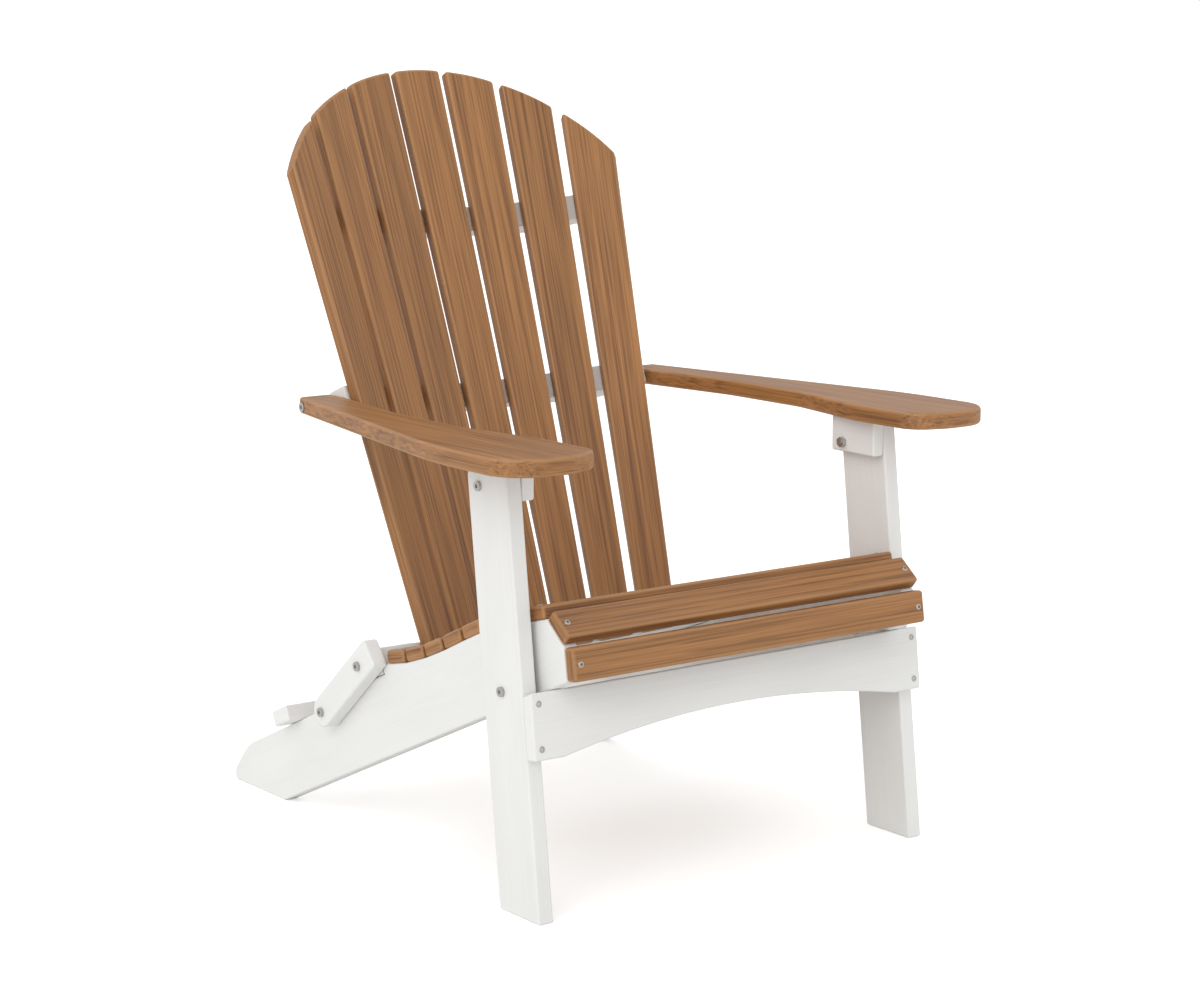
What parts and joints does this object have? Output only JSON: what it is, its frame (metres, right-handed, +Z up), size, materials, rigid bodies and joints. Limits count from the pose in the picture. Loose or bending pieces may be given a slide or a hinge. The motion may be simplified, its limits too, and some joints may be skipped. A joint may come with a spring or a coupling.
{
  "type": "folding adirondack chair",
  "caption": "Folding slatted garden armchair with a fanned, curved reclining back, wide flat arms, sloping seat stringers and an arched front apron.",
  "frame": {"origin": "on the floor, in the middle of the chair's width and depth", "axes": "+Z up, the chair faces -Y, +X is the sitter's left"},
  "size_m": [0.824, 0.905, 1.0714],
  "materials": {
    "brown_lumber": "streaked brown HDPE lumber, embossed grain",
    "white_lumber": "white HDPE lumber, satin",
    "stainless_steel": "satin stainless steel"
  },
  "bodies": {
    "seat_frame": {"left_stringer": "white_lumber", "right_stringer": "white_lumber", "rear_crossbar": "white_lumber", "seat_slat_screws": "stainless_steel", "crossbar_screws": "stainless_steel", "leg_pivot_bolts": "stainless_steel", "leg_pivot_nuts": "stainless_steel", "leg_pivot_spacers": "stainless_steel", "link_pivot_bolts": "stainless_steel", "link_pivot_nuts": "stainless_steel", "seat_slat_1": "brown_lumber", "seat_slat_2": "brown_lumber", "seat_slat_3": "brown_lumber", "seat_slat_4": "brown_lumber", "seat_slat_5": "brown_lumber", "seat_slat_6": "brown_lumber", "seat_slat_7": "brown_lumber", "seat_slat_8": "brown_lumber", "seat_slat_9": "brown_lumber", "seat_slat_10": "brown_lumber"},
    "link_bars": {"left_link_bar": "white_lumber", "right_link_bar": "white_lumber"},
    "back": {"back_slat_1": "brown_lumber", "back_slat_2": "brown_lumber", "back_slat_3": "brown_lumber", "back_slat_4": "brown_lumber", "back_slat_5": "brown_lumber", "back_slat_6": "brown_lumber", "back_slat_7": "brown_lumber", "top_back_rail": "white_lumber", "middle_back_rail": "white_lumber", "bottom_back_rail": "white_lumber", "back_slat_screws": "stainless_steel", "arm_rear_bolts": "stainless_steel", "link_top_bolts": "stainless_steel"},
    "arms": {"left_arm": "brown_lumber", "right_arm": "brown_lumber", "left_arm_block": "white_lumber", "right_arm_block": "white_lumber", "arm_block_screws": "stainless_steel", "arm_front_nuts": "stainless_steel"},
    "leg_frame": {"left_front_leg": "white_lumber", "right_front_leg": "white_lumber", "front_apron": "white_lumber", "apron_screws": "stainless_steel", "arm_front_bolts": "stainless_steel"}
  },
  "joints": [
    {"name": "link_fold", "type": "hinge", "parent": "seat_frame", "child": "link_bars", "pos_m": [0, 0.15305, 0.16973], "axis": [-1, 0, 0], "range_deg": [0, 105]},
    {"name": "back_fold", "type": "hinge", "parent": "link_bars", "child": "back", "pos_m": [0, 0.05245, 0.25596], "axis": [1, 0, 0], "range_deg": [0, 194]},
    {"name": "arm_fold", "type": "hinge", "parent": "back", "child": "arms", "pos_m": [0, 0.19813, 0.6045], "axis": [-1, 0, 0], "range_deg": [0, 98.75]},
    {"name": "leg_fold", "type": "hinge", "parent": "seat_frame", "child": "leg_frame", "pos_m": [0, -0.31432, 0.2938], "axis": [1, 0, 0], "range_deg": [0, 71.21]}
  ],
  "couplings": [
    {"joint": "link_fold", "follows": "back_fold", "ratio": 0.54123},
    {"joint": "arm_fold", "follows": "back_fold", "ratio": 0.50902},
    {"joint": "leg_fold", "follows": "back_fold", "ratio": 0.36706}
  ]
}
